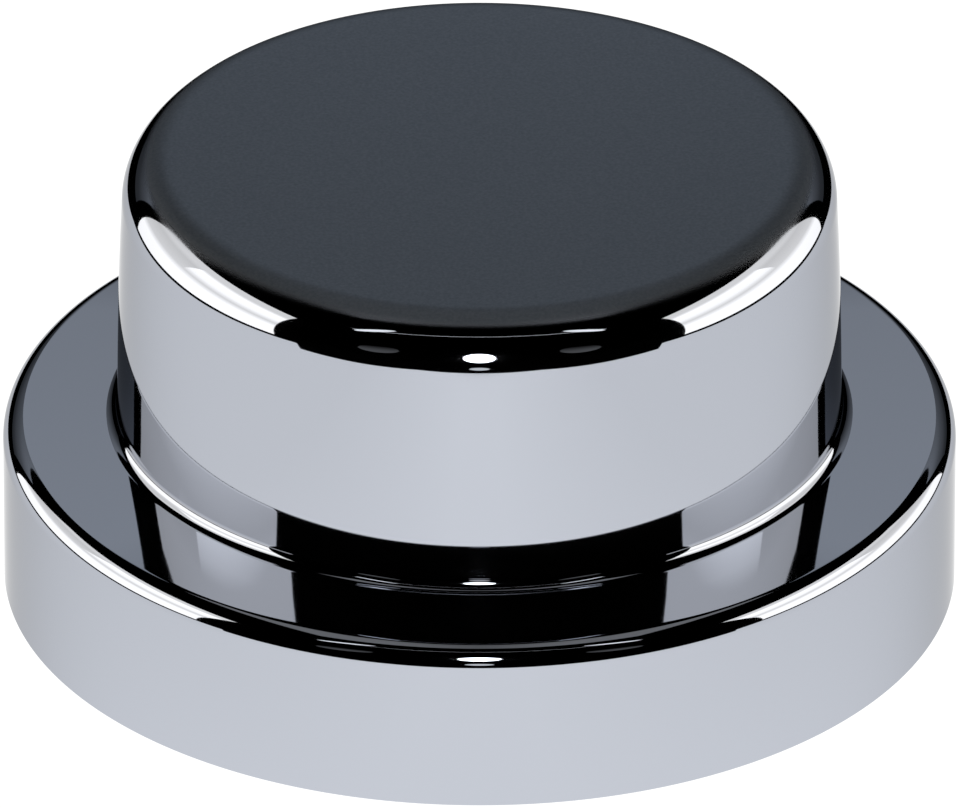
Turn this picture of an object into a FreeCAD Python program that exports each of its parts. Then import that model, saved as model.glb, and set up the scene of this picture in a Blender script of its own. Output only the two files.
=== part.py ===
import FreeCAD, Part
import math
import os

# Lug nut cap: a one-piece "top hat" cover, moulded hollow, that is pushed over a hexagonal wheel nut.
# Millimetres. The axis is Z, the rim stands on Z = 0 and the crown points up.

# The nut, and how the cap holds it
NUT_ACROSS_FLATS = 33.0
NUT_FLATS = 6
CORNER_CLEARANCE = 1.75
GRIP_SQUEEZE = 0.1

# Moulded wall
WALL = 2.0
TOP_WALL = 2.4

# Outside form
CAP_HEIGHT = 29.55
CROWN_LOWER_DRAFT_DEG = 0.4
CROWN_UPPER_DRAFT_DEG = 2.6
CROWN_BOW_HEIGHT = 8.0
CROWN_BOW_RADIUS = 260.0
CROWN_EDGE_ROUND = 3.1
CROWN_FOOT_FILLET = 0.8
FLANGE_WIDTH = 7.2
FLANGE_HEIGHT = 10.9
FLANGE_RISE = 0.55
FLANGE_EDGE_ROUND = 1.4

# Inside form
MOUTH_CHAMFER = 1.0
RIB_THICKNESS = 2.0
RIB_FOOT_RISE = 0.6
LEAD_IN_DEPTH = 1.2
LEAD_IN_HEIGHT = 3.0

# The crown clears the nut's corners, and the flange falls a little from the crown's foot to its edge
NUT_CORNER_RADIUS = NUT_ACROSS_FLATS / 2 / math.cos(math.pi / NUT_FLATS)
CROWN_FOOT_RADIUS = NUT_CORNER_RADIUS + CORNER_CLEARANCE + WALL
FLANGE_RADIUS = CROWN_FOOT_RADIUS + FLANGE_WIDTH
CROWN_FOOT_HEIGHT = FLANGE_HEIGHT + FLANGE_RISE
BOW_LEVEL = CROWN_FOOT_HEIGHT + CROWN_BOW_HEIGHT

AXIS = FreeCAD.Vector(0, 0, 1)
ORIGIN = FreeCAD.Vector(0, 0, 0)


def crown_radius(height):
    """Outside radius of the crown's wall at a height: nearly upright at its foot, leaning in above the bow."""
    lower = min(height, BOW_LEVEL) - CROWN_FOOT_HEIGHT
    upper = max(height, BOW_LEVEL) - BOW_LEVEL
    lean_below = lower * math.tan(math.radians(CROWN_LOWER_DRAFT_DEG))
    lean_above = upper * math.tan(math.radians(CROWN_UPPER_DRAFT_DEG))
    return CROWN_FOOT_RADIUS - lean_below - lean_above


def corner_points(before, here, after):
    """The points of one corner of a section: the corner, or the start, middle and end of its rounding."""
    point = FreeCAD.Vector(here[0], 0, here[1])
    if len(here) == 2:
        return [point]
    edge_round = here[2]
    back = (FreeCAD.Vector(before[0], 0, before[1]) - point).normalize()
    ahead = (FreeCAD.Vector(after[0], 0, after[1]) - point).normalize()
    inward = (back + ahead).normalize()
    half_angle = back.getAngle(ahead) / 2
    reach = edge_round / math.tan(half_angle)
    middle = point + inward * (edge_round / math.sin(half_angle) - edge_round)
    return [point + back * reach, middle, point + ahead * reach]


def turned(section):
    """A solid turned from a closed half section of corners: (radius, height) or (radius, height, rounding)."""
    corners = []
    for number, here in enumerate(section):
        after = section[(number + 1) % len(section)]
        corners.append(corner_points(section[number - 1], here, after))
    edges = []
    for number, points in enumerate(corners):
        if len(points) == 3:
            edges.append(Part.Arc(*points).toShape())
        edges.append(Part.makeLine(points[-1], corners[(number + 1) % len(corners)][0]))
    return Part.Face(Part.Wire(edges)).revolve(ORIGIN, AXIS, 360)


def rim_edges(solid, radius, height):
    """The circular edges of a turned solid at one radius and height."""
    circles = [edge for edge in solid.Edges if isinstance(edge.Curve, Part.Circle)]
    return [
        edge
        for edge in circles
        if abs(edge.Curve.Radius - radius) < 1e-4 and abs(edge.Curve.Center.z - height) < 1e-4
    ]


def outside():
    """The cap's outside as a solid: skirt, flange and crown, with their rounded edges."""
    return turned([
        (0, 0),
        (FLANGE_RADIUS, 0),
        (FLANGE_RADIUS, FLANGE_HEIGHT, FLANGE_EDGE_ROUND),
        (CROWN_FOOT_RADIUS, CROWN_FOOT_HEIGHT, CROWN_FOOT_FILLET),
        (crown_radius(BOW_LEVEL), BOW_LEVEL, CROWN_BOW_RADIUS),
        (crown_radius(CAP_HEIGHT), CAP_HEIGHT, CROWN_EDGE_ROUND),
        (0, CAP_HEIGHT),
    ])


def hollow(wall, top_wall):
    """The space inside the cap, left by walls of the given thickness, with a chamfered mouth to the crown."""
    ceiling = CAP_HEIGHT - top_wall
    mouth = CROWN_FOOT_HEIGHT - wall
    mouth_radius = crown_radius(mouth) - wall
    solid = turned([
        (0, 0),
        (FLANGE_RADIUS - wall, 0),
        (FLANGE_RADIUS - wall, FLANGE_HEIGHT - wall),
        (mouth_radius, mouth),
        (crown_radius(ceiling) - wall, ceiling),
        (0, ceiling),
    ])
    return solid.makeChamfer(MOUTH_CHAMFER, rim_edges(solid, mouth_radius, mouth))


def grip_rib():
    """The rib that presses on the nut's +X flat, with a sloped lead-in at its lower end."""
    tip = NUT_ACROSS_FLATS / 2 - GRIP_SQUEEZE
    foot = CROWN_FOOT_HEIGHT - WALL + MOUTH_CHAMFER + RIB_FOOT_RISE
    outline = [
        (tip, CAP_HEIGHT),
        (tip, foot + LEAD_IN_HEIGHT),
        (tip + LEAD_IN_DEPTH, foot),
        (CROWN_FOOT_RADIUS, foot),
        (CROWN_FOOT_RADIUS, CAP_HEIGHT),
    ]
    corners = [FreeCAD.Vector(x, -RIB_THICKNESS / 2, z) for x, z in outline]
    side = Part.Face(Part.makePolygon(corners + corners[:1]))
    return side.extrude(FreeCAD.Vector(0, RIB_THICKNESS, 0))


def grip_ribs():
    """One rib for each flat of the nut, each rooted halfway into the crown's wall and top."""
    root = hollow(WALL / 2, TOP_WALL / 2)
    ribs = []
    for flat in range(NUT_FLATS):
        rib = grip_rib()
        rib.rotate(ORIGIN, AXIS, flat * 360 / NUT_FLATS)
        ribs.append(rib.common(root))
    return ribs


shell = outside().cut(hollow(WALL, TOP_WALL))
cap = shell.fuse(grip_ribs()).removeSplitter()

os.makedirs("parts", exist_ok=True)
cap.exportStep("parts/lug_nut_cap.step")

box = cap.optimalBoundingBox()
print("lug_nut_cap: solids", len(cap.Solids), "valid", cap.isValid(), "volume mm3", round(cap.Volume, 1))
print("box mm", [round(length, 3) for length in (box.XLength, box.YLength, box.ZLength)])
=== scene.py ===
# %% [markdown]
# # A chrome lug nut cap
# This lesson dresses one small moulded part, a push-on cover for a truck's wheel nut.
# The solid model comes from the frame. Here it gets a finer skin, a chrome finish and a studio to reflect.

# %% Load the frame
import bmesh
import bpy
import math
from mathutils import Matrix, Vector


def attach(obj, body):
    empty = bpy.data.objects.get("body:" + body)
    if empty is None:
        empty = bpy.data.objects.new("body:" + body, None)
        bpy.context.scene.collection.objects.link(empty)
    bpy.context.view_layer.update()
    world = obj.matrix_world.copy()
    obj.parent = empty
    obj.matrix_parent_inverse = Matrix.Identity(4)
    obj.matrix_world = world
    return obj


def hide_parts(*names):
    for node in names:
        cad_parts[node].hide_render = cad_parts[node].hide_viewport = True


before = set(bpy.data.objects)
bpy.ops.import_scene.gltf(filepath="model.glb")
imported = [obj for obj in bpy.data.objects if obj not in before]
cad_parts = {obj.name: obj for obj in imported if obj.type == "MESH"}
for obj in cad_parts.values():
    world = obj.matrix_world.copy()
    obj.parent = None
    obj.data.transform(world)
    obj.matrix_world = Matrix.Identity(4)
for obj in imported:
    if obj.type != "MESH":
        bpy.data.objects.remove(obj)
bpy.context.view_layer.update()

# %% [markdown]
# ## The sizes
# The real cap is one moulding with an even wall, so a few sizes say almost everything about it.
# They could be measured from the solid model's mesh, but its facets only come near to the curves.
# So the sizes of the solid model are given again, in metres.

# %% Sizes
MM = 0.001
NUT_ACROSS_FLATS = 33.0 * MM
NUT_FLATS = 6
CORNER_CLEARANCE = 1.75 * MM
WALL = 2.0 * MM
TOP_WALL = 2.4 * MM
CAP_HEIGHT = 29.55 * MM
FLANGE_WIDTH = 7.2 * MM
FLANGE_HEIGHT = 10.9 * MM
FLANGE_RISE = 0.55 * MM
BOW_HEIGHT = 8.0 * MM
LOWER_DRAFT = math.radians(0.4)
UPPER_DRAFT = math.radians(2.6)

NUT_CORNER_RADIUS = NUT_ACROSS_FLATS / 2 / math.cos(math.pi / NUT_FLATS)
CROWN_FOOT_RADIUS = NUT_CORNER_RADIUS + CORNER_CLEARANCE + WALL
CROWN_FOOT_HEIGHT = FLANGE_HEIGHT + FLANGE_RISE
FLANGE_RADIUS = CROWN_FOOT_RADIUS + FLANGE_WIDTH
BOW_LEVEL = CROWN_FOOT_HEIGHT + BOW_HEIGHT
CEILING = CAP_HEIGHT - TOP_WALL
MOUTH_HEIGHT = CROWN_FOOT_HEIGHT - WALL


def crown_radius(height):
    """Outside radius of the crown's wall: nearly upright at its foot, leaning in above the bow."""
    lower = min(height, BOW_LEVEL) - CROWN_FOOT_HEIGHT
    upper = max(height, BOW_LEVEL) - BOW_LEVEL
    return CROWN_FOOT_RADIUS - lower * math.tan(LOWER_DRAFT) - upper * math.tan(UPPER_DRAFT)


print("flange radius in mm:", round(FLANGE_RADIUS / MM, 2))

# %% [markdown]
# ## The half section
# A mirror finish shows every facet, so the cap is turned again here, finer than the solid model.
# A subdivision modifier on the old mesh would soften its sharp edges too, so the outline is drawn anew.
# It is a chain of sharp corners: from the top's centre, down the outside, round the rim and up the inside.

# %% Draw the half section
bm = bmesh.new()
corners = {
    "top_centre": (0, CAP_HEIGHT),
    "crown_edge": (crown_radius(CAP_HEIGHT), CAP_HEIGHT),
    "crown_bow": (crown_radius(BOW_LEVEL), BOW_LEVEL),
    "crown_foot": (CROWN_FOOT_RADIUS, CROWN_FOOT_HEIGHT),
    "flange_edge": (FLANGE_RADIUS, FLANGE_HEIGHT),
    "rim_outside": (FLANGE_RADIUS, 0),
    "rim_inside": (FLANGE_RADIUS - WALL, 0),
    "recess_corner": (FLANGE_RADIUS - WALL, FLANGE_HEIGHT - WALL),
    "mouth": (crown_radius(MOUTH_HEIGHT) - WALL, MOUTH_HEIGHT),
    "ceiling_corner": (crown_radius(CEILING) - WALL, CEILING),
    "ceiling_centre": (0, CEILING),
}
chain = {name: bm.verts.new((radius, 0, height)) for name, (radius, height) in corners.items()}
names = list(chain)
for first, second in zip(names, names[1:]):
    bm.edges.new((chain[first], chain[second]))
print("half section:", len(bm.verts), "corners")

# %% [markdown]
# Most outer corners of the real cap are rounded, and the mouth inside is chamfered. The arcs could be worked
# out point by point, but a vertex bevel makes each from one number. It asks how far from the corner the
# curve starts, which follows from the radius and from the turn that the outline makes there.

# %% Round the half section
CROWN_EDGE_ROUND = 3.1 * MM
BOW_RADIUS = 260.0 * MM
CROWN_FOOT_FILLET = 0.8 * MM
FLANGE_EDGE_ROUND = 1.4 * MM
MOUTH_CHAMFER = 1.0 * MM

QUARTER = math.pi / 2
FLANGE_SLOPE = math.atan2(FLANGE_RISE, FLANGE_WIDTH)
CROWN_EDGE_TURN = QUARTER - UPPER_DRAFT
CROWN_BOW_TURN = UPPER_DRAFT - LOWER_DRAFT
CROWN_FOOT_TURN = QUARTER - LOWER_DRAFT - FLANGE_SLOPE
FLANGE_EDGE_TURN = QUARTER - FLANGE_SLOPE


def bevel_corner(name, start, segments):
    """Bevel one corner of the chain: a curve, or with one segment a chamfer."""
    bmesh.ops.bevel(
        bm, geom=[chain[name]], offset=start, offset_type="OFFSET", segments=segments,
        profile=0.5, affect="VERTICES", material=-1,
    )


bevel_corner("crown_edge", CROWN_EDGE_ROUND * math.tan(CROWN_EDGE_TURN / 2), 40)
bevel_corner("crown_bow", BOW_RADIUS * math.tan(CROWN_BOW_TURN / 2), 12)
bevel_corner("crown_foot", CROWN_FOOT_FILLET * math.tan(CROWN_FOOT_TURN / 2), 16)
bevel_corner("flange_edge", FLANGE_EDGE_ROUND * math.tan(FLANGE_EDGE_TURN / 2), 28)
bevel_corner("mouth", MOUTH_CHAMFER, 1)
print("rounded:", len(bm.verts), "points")

# %% [markdown]
# Smooth shading blends the direction of the surface from point to point, but the flat parts of the real cap
# reflect as flat mirrors. A weighted normal modifier could keep them flat. Here two extra points, close to
# the ends of every long straight run, keep the blend short, and no modifier is needed.

# %% Hold the straight runs flat
HOLD = 0.06 * MM
LONG_RUN = 20 * HOLD
long_runs = [edge for edge in bm.edges if edge.calc_length() > LONG_RUN]
cut = bmesh.ops.subdivide_edges(bm, edges=long_runs, cuts=2)
new_points = [item for item in cut["geom_inner"] if isinstance(item, bmesh.types.BMVert)]
for point in new_points:
    neighbours = [edge.other_vert(point) for edge in point.link_edges]
    end = [vert for vert in neighbours if vert not in new_points][0]
    point.co = end.co + (point.co - end.co).normalized() * HOLD
print("with holding points:", len(bm.verts), "points")

# %% [markdown]
# ## Turning it
# The cap is round about its axis, as if turned on a lathe. A spin carries the chain once round that axis and
# leaves one closed surface, inside and outside. A screw modifier could do this as well, but the spin gives
# plain faces at once. The ends of the chain lie on the axis, so the points there are merged into one.

# %% Spin the half section
STEPS_ROUND = 384
MERGE_DISTANCE = 0.001 * MM
bmesh.ops.spin(
    bm, geom=bm.verts[:] + bm.edges[:], cent=(0, 0, 0), axis=(0, 0, 1), dvec=(0, 0, 0),
    angle=2 * math.pi, steps=STEPS_ROUND, use_merge=True, use_normal_flip=False,
)
bmesh.ops.remove_doubles(bm, verts=bm.verts[:], dist=MERGE_DISTANCE)
bmesh.ops.recalc_face_normals(bm, faces=bm.faces[:])
open_edges = [edge for edge in bm.edges if not edge.is_manifold]
print("skin:", len(bm.faces), "faces,", len(open_edges), "open edges")

# %% [markdown]
# ## The grip ribs
# Inside the crown six ribs press on the flats of the nut. Each is rooted in the wall and the top, and a slope
# at its lower end guides the nut in. A rib could be an outline that is extruded. A block with one sloped
# slice is shorter to write, and filling the slice's edges closes it again.

# %% Make one rib
GRIP_SQUEEZE = 0.1 * MM
RIB_THICKNESS = 2.0 * MM
RIB_FOOT_RISE = 0.6 * MM
LEAD_IN_DEPTH = 1.2 * MM
LEAD_IN_HEIGHT = 3.0 * MM
SLICE_TOLERANCE = 1e-7

rib_tip = NUT_ACROSS_FLATS / 2 - GRIP_SQUEEZE
rib_foot = MOUTH_HEIGHT + MOUTH_CHAMFER + RIB_FOOT_RISE
rib_root = crown_radius(CEILING) - WALL / 2
rib_top = CAP_HEIGHT - TOP_WALL / 2
size = Vector((rib_root - rib_tip, RIB_THICKNESS, rib_top - rib_foot))
middle = Vector(((rib_root + rib_tip) / 2, 0, (rib_top + rib_foot) / 2))
ribs = bmesh.new()
block = Matrix.Translation(middle) @ Matrix.Diagonal(size).to_4x4()
bmesh.ops.create_cube(ribs, size=1, matrix=block)
sliced = bmesh.ops.bisect_plane(
    ribs, geom=ribs.verts[:] + ribs.edges[:] + ribs.faces[:], dist=SLICE_TOLERANCE,
    plane_co=(rib_tip + LEAD_IN_DEPTH, 0, rib_foot), plane_no=(-LEAD_IN_HEIGHT, 0, -LEAD_IN_DEPTH),
    clear_outer=True,
)
slice_edges = [item for item in sliced["geom_cut"] if isinstance(item, bmesh.types.BMEdge)]
bmesh.ops.edgeloop_fill(ribs, edges=slice_edges)
print("one rib in mm:", [round(length / MM, 2) for length in size])

# %% [markdown]
# There is one rib for each flat of the nut. An array modifier round an empty object could set them out, but
# a spin with duplicates needs no second object. Then the ribs join the skin's mesh.

# %% Set out the ribs
bmesh.ops.spin(
    ribs, geom=ribs.verts[:] + ribs.edges[:] + ribs.faces[:], cent=(0, 0, 0), axis=(0, 0, 1), dvec=(0, 0, 0),
    angle=2 * math.pi * (NUT_FLATS - 1) / NUT_FLATS, steps=NUT_FLATS - 1, use_duplicate=True,
)
bmesh.ops.recalc_face_normals(ribs, faces=ribs.faces[:])
open_edges = [edge for edge in ribs.edges if not edge.is_manifold]
print("ribs:", len(ribs.faces), "faces,", len(open_edges), "open edges")
rib_mesh = bpy.data.meshes.new("grip_ribs")
ribs.to_mesh(rib_mesh)
ribs.free()
bm.from_mesh(rib_mesh)
bpy.data.meshes.remove(rib_mesh)

# %% [markdown]
# ## One piece
# Everything is one moulding, so everything is one mesh, and it takes the place of the frame's one node.
# Faces are shaded smooth. The edges that are sharp on the real cap, at the rim and inside, could be picked
# by hand, but their angle finds them too, and still does after a size is changed.

# %% Make the piece
SHARP_ANGLE = math.radians(30)
for face in bm.faces:
    face.smooth = True
for edge in bm.edges:
    edge.smooth = edge.calc_face_angle(math.pi) < SHARP_ANGLE
mesh = bpy.data.meshes.new("lug_nut_cap_skin")
bm.to_mesh(mesh)
bm.free()
cap = bpy.data.objects.new("lug_nut_cap_skin", mesh)
bpy.context.scene.collection.objects.link(cap)
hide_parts("lug_nut_cap")
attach(cap, "root")
print("cap:", len(mesh.polygons), "faces")

# %% [markdown]
# ## Chrome plate
# Bright chrome is a thin hard metal film over smooth plastic. It has almost no colour of its own and shows a
# cool, slightly darkened picture of the room, darker still where the surface turns away. A painted picture
# of a room would not follow the shape, so the shader is plain metal and a room is built round it.
# Two helpers come first: one turns a hex colour into the linear values of a shader, the other adds a node.

# %% Helpers for materials
def linear(code):
    """An sRGB hex colour as the linear values that a shader needs."""
    parts = [int(code[i:i + 2], 16) / 255 for i in (1, 3, 5)]
    return [v / 12.92 if v <= 0.04045 else ((v + 0.055) / 1.055) ** 2.4 for v in parts] + [1.0]


def add_node(tree, kind, inputs=None, links=None, **settings):
    """A node with its settings, its input values, and links into it from other sockets."""
    node = tree.nodes.new(kind)
    for name, value in settings.items():
        setattr(node, name, value)
    for name, value in (inputs or {}).items():
        node.inputs[name].default_value = value
    for name, socket in (links or {}).items():
        tree.links.new(socket, node.inputs[name])
    return node


print("mid grey in linear light:", round(linear("#808080")[0], 3))

# %% [markdown]
# The flat top is different from the rest. A very fine grain makes it satin and darker, and it runs out
# softly on the rounded edge. A second material on the top's faces would end in a hard line, so there is one
# material with a mask by height. The grain is a noise of a fifth of a millimetre, as coarse as it needs to be
# to show at all.

# %% Bright chrome with a satin top
SATIN_ENDS = CAP_HEIGHT - 0.75 * MM
SATIN_IS_FULL = CAP_HEIGHT - 0.2 * MM
GRAIN_WIDTH = 0.2 * MM
GRAIN_DEPTH = 0.006 * MM
BRIGHT_ROUGHNESS = 0.035
SATIN_ROUGHNESS = 0.45

chrome = bpy.data.materials.new("bright_chrome_plate_on_moulded_plastic")
chrome.use_nodes = True
tree = chrome.node_tree
shader = tree.nodes["Principled BSDF"]
shader.inputs["Metallic"].default_value = 1.0
shader.inputs["Specular Tint"].default_value = linear("#d0d0d0")
place = add_node(tree, "ShaderNodeTexCoord")
height = add_node(tree, "ShaderNodeSeparateXYZ", links={0: place.outputs["Object"]})
on_top = add_node(
    tree, "ShaderNodeMapRange", {1: SATIN_ENDS, 2: SATIN_IS_FULL}, {0: height.outputs["Z"]},
    interpolation_type="SMOOTHSTEP",
)
grain = add_node(
    tree, "ShaderNodeTexNoise", {"Scale": 1 / GRAIN_WIDTH, "Detail": 2.0},
    {"Vector": place.outputs["Object"]},
)
satin = add_node(
    tree, "ShaderNodeMix", {6: linear("#757d86"), 7: linear("#969da6")}, {0: grain.outputs[0]},
    data_type="RGBA",
)
colour = add_node(
    tree, "ShaderNodeMix", {6: linear("#b9bdc6")}, {0: on_top.outputs["Result"], 7: satin.outputs[2]},
    data_type="RGBA",
)
dulling = add_node(
    tree, "ShaderNodeMapRange", {1: 0.0, 2: 1.0, 3: BRIGHT_ROUGHNESS, 4: SATIN_ROUGHNESS},
    {0: on_top.outputs["Result"]},
)
bump = add_node(
    tree, "ShaderNodeBump", {"Distance": GRAIN_DEPTH},
    {"Height": grain.outputs[0], "Strength": on_top.outputs["Result"]},
)
tree.links.new(colour.outputs[2], shader.inputs["Base Color"])
tree.links.new(dulling.outputs["Result"], shader.inputs["Roughness"])
tree.links.new(bump.outputs["Normal"], shader.inputs["Normal"])
mesh.materials.append(chrome)
print("chrome nodes:", len(tree.nodes))

# %% [markdown]
# ## The studio
# Chrome is lit by what it reflects. Area lamps could light it, but each would show as a shape of one even
# strength. A card that glows by itself can have a ramp along one axis, which gives a soft gradient.
# All places are in flange radii. Only the floor is in the picture, and the rest shows in reflections.

# %% A glowing material
R = FLANGE_RADIUS


def glow(name, stops, code="#ffffff", axis="Z"):
    """A glow whose strength follows the distance along an axis: stops are (flange radii, strength)."""
    material = bpy.data.materials.new(name)
    material.use_nodes = True
    tree = material.node_tree
    tree.nodes.clear()
    light = add_node(tree, "ShaderNodeEmission", {"Color": linear(code), "Strength": stops[0][1]})
    if len(stops) > 1:
        low, high = stops[0][0], stops[-1][0]
        strongest = max(strength for _, strength in stops)
        where = add_node(tree, "ShaderNodeTexCoord")
        along = add_node(tree, "ShaderNodeSeparateXYZ", links={0: where.outputs["Object"]})
        away = add_node(tree, "ShaderNodeMath", links={0: along.outputs[axis]}, operation="ABSOLUTE")
        part_way = add_node(tree, "ShaderNodeMapRange", {1: low * R, 2: high * R}, {0: away.outputs[0]})
        ramp = add_node(tree, "ShaderNodeFloatCurve", links={"Value": part_way.outputs["Result"]})
        curve = ramp.mapping.curves[0]
        spots = [((at - low) / (high - low), strength / strongest) for at, strength in stops]
        curve.points[0].location = spots[0]
        curve.points[-1].location = spots[-1]
        for spot in spots[1:-1]:
            curve.points.new(*spot)
        for point in curve.points:
            point.handle_type = "VECTOR"
        ramp.mapping.update()
        scale = add_node(
            tree, "ShaderNodeMath", {1: strongest}, {0: ramp.outputs["Value"]}, operation="MULTIPLY",
        )
        tree.links.new(scale.outputs[0], light.inputs["Strength"])
    add_node(tree, "ShaderNodeOutputMaterial", links={"Surface": light.outputs["Emission"]})
    return material


black = glow("black_card", [(0, 0.0)])
print("first glow:", black.name)

# %% [markdown]
# A card is a grid of one face or a filled circle, set in place by its centre and by two vectors, one to its
# side and one to its top. The first two are the pale floor, which is what the camera sees, and a table in
# the same place that only the chrome sees. One plane could be both, but then a change to the reflection
# would change the background too. The table is a little darker towards the sides, as a lit table is.

# %% Floor and table
BELOW_RIM = -0.002
TABLE_REACH = 100
cards = []


def card(name, centre, across, up, material, seen=False, disc=False):
    """A flat card or disc: its centre, and the vectors to its side and to its top, in flange radii."""
    bm = bmesh.new()
    if disc:
        bmesh.ops.create_circle(bm, cap_ends=True, segments=48, radius=1)
    else:
        bmesh.ops.create_grid(bm, x_segments=1, y_segments=1, size=1)
    for vert in bm.verts:
        vert.co = R * (Vector(centre) + Vector(across) * vert.co.x + Vector(up) * vert.co.y)
    mesh = bpy.data.meshes.new(name)
    bm.to_mesh(mesh)
    bm.free()
    obj = bpy.data.objects.new(name, mesh)
    bpy.context.scene.collection.objects.link(obj)
    mesh.materials.append(material)
    obj.visible_camera = seen
    obj.visible_shadow = False
    cards.append(obj)
    return obj


flat_across = (TABLE_REACH, 0, 0)
flat_up = (0, TABLE_REACH, 0)
floor = card("floor", (0, 0, BELOW_RIM), flat_across, flat_up, glow("pale_floor", [(0, 1.12)]), seen=True)
floor.visible_glossy = False
table = glow("table_in_the_chrome", [(0.2, 1.16), (0.8, 1.1), (1.5, 1.03), (3.0, 1.0)], axis="X")
card("table", (0, 0, BELOW_RIM), flat_across, flat_up, table)
print("floor and table:", len(cards), "cards")

# %% [markdown]
# Black cards stand round the table like the flags of a studio, and draw the dark lines along the cap's
# rounded edges. Dark bands could be painted on the chrome, but they would not move as reflections do when
# the view changes. The two cards at the front corners follow the cap's curve, so that the dark band at the
# front of the crown keeps its width round to the sides.

# %% Black flags
SIDES = (-1, 1)
FLAG_UP = (0, 0, 0.5)
card("front_flag", (0, -2.73, 0.5), (3.8, 0, 0), FLAG_UP, black)
card("back_flag", (0, 3.2, 0.5), (3.8, 0, 0), FLAG_UP, black)
for side in SIDES:
    card("side_flag", (3.8 * side, 0.2, 0.5), (0, 3.0, 0), FLAG_UP, black)
    card("corner_flag", (1.47 * side, -2.29, 0.5), (0.72 * side, 0.5, 0), FLAG_UP, black)
print("with flags:", len(cards), "cards")

# %% [markdown]
# A grey wall behind gives the flange and the top their tone. A grey world could do so too, but it would lift
# every dark line as well. Two dim wings beside the wall and a dim card overhead carry the tone round the top
# to its edges.

# %% Wall, wings and overhead card
COOL_GREY = "#dfe6f0"
room = glow("grey_back", [(0, 0.03), (1.3, 0.05), (2.0, 0.48), (3.5, 0.52), (4.5, 0.3)], COOL_GREY)
card("back_wall", (0, 4.0, 2.25), (1.5, 0, 0), (0, 0, 2.25), room)
overhead = glow("dim_overhead", [(0, 0.15), (1.0, 0.23), (2.2, 0.23)], axis="X")
card("overhead", (0, 1.5, 6.0), (2.2, 0, 0), (0, 2.4, 0), overhead)
wing = glow("dim_wing", [(0.6, 0.04), (1.5, 0.06), (2.4, 0.15), (3.1, 0.3)], COOL_GREY)
for side in SIDES:
    card("back_wing", (2.85 * side, 4.0, 1.85), (1.35, 0, 0), (0, 0, 1.25), wing)
print("with wall, wings and overhead card:", len(cards), "cards")

# %% [markdown]
# A tall white panel on each side makes the two bright crescents on each rounded edge. One large light over
# the cap would make a ring instead. Each panel is two cards, because its back half is dimmer at mid height.

# %% Side panels
PANEL_UP = (0, 0, 1.65)
WARM_WHITE = "#fffbf4"
front_stops = [(0.3, 2.1), (1.3, 2.1), (1.7, 1.3), (2.1, 2.0), (2.7, 2.2), (3.0, 1.3), (3.8, 1.25)]
back_stops = [(0.3, 2.1), (1.3, 2.1), (1.7, 1.3), (2.1, 1.2), (2.6, 1.1), (3.0, 1.3), (3.8, 1.25)]
panel = glow("side_panel", front_stops, WARM_WHITE)
back_panel = glow("side_panel_back", back_stops, WARM_WHITE)
for side in SIDES:
    card("side_panel", (3.7 * side, -0.78, 1.93), (0, 1.33, 0), PANEL_UP, panel)
    card("side_panel_back", (3.7 * side, 1.57, 1.93), (0, 1.02, 0), PANEL_UP, back_panel)
print("with side panels:", len(cards), "cards")

# %% [markdown]
# Small lamps at the front give the sparkle: one bright spot with a faint one under it, a thin streak, and
# a dim and a brighter patch on each side. Glowing spheres would do as well, but a flat disc is easier to
# aim. The room itself is black, so that the dark bands stay dark.

# %% Lamps and room
dim = glow("dim_card", [(1.1, 0.13), (1.3, 0.1), (1.6, 0.0)])
high = glow("high_lamp", [(0, 1.6)])
for side in SIDES:
    card("dim_card", (1.15 * side, -2.2, 1.37), (0.34 * side, -0.1, 0), (0, 0, 0.24), dim, disc=True)
    high_up = (0.05 * side, 0.05, 0.07)
    card("high_lamp", (1.3 * side, -1.8, 2.9), (0.4 * side, -0.2, 0), high_up, high, disc=True)
card("lamp", (0, -2.2, 1.2), (0.16, 0, 0), (0, 0, 0.28), glow("front_lamp", [(0, 8.0)]), disc=True)
card("low_lamp", (0, -2.2, 0.5), (0.1, 0, 0), (0, 0, 0.1), glow("low_lamp", [(0, 0.9)]), disc=True)
card("strip_lamp", (0, -1.9, 3.0), (1.7, 0, 0), (0, 0, 0.025), glow("strip_lamp", [(0, 1.0)]))

world = bpy.data.worlds.new("dark_room")
world.use_nodes = True
world.node_tree.nodes["Background"].inputs["Color"].default_value = (0, 0, 0, 1)
bpy.context.scene.world = world
print("with lamps:", len(cards), "cards")

# %% [markdown]
# ## The camera
# The camera looks down at a little under thirty degrees, through a very long lens, so that circles become
# clean ellipses. An orthographic camera would come close, but a long lens keeps the slight narrowing of a
# real picture. Its length follows from the picture's width and from how large the cap is in it.

# %% Camera
PICTURE_WIDTH = 959
FOCAL_PIXELS = 26220
SENSOR_WIDTH = 36
ELEVATION = math.radians(29.4)
DISTANCE = 55 * R
AIM_HEIGHT = 0.391 * R
FAR_LIMIT = 10

look_at = Vector((0, 0, AIM_HEIGHT))
camera_data = bpy.data.cameras.new("camera")
camera_data.sensor_width = SENSOR_WIDTH
camera_data.lens = FOCAL_PIXELS / PICTURE_WIDTH * SENSOR_WIDTH
camera_data.clip_end = FAR_LIMIT
camera = bpy.data.objects.new("camera", camera_data)
bpy.context.scene.collection.objects.link(camera)
camera.location = look_at + DISTANCE * Vector((0, -math.cos(ELEVATION), math.sin(ELEVATION)))
camera.rotation_euler = (QUARTER - ELEVATION, 0, 0)
bpy.context.scene.camera = camera
bpy.context.scene.view_settings.view_transform = "Standard"
print("lens in mm:", round(camera_data.lens))
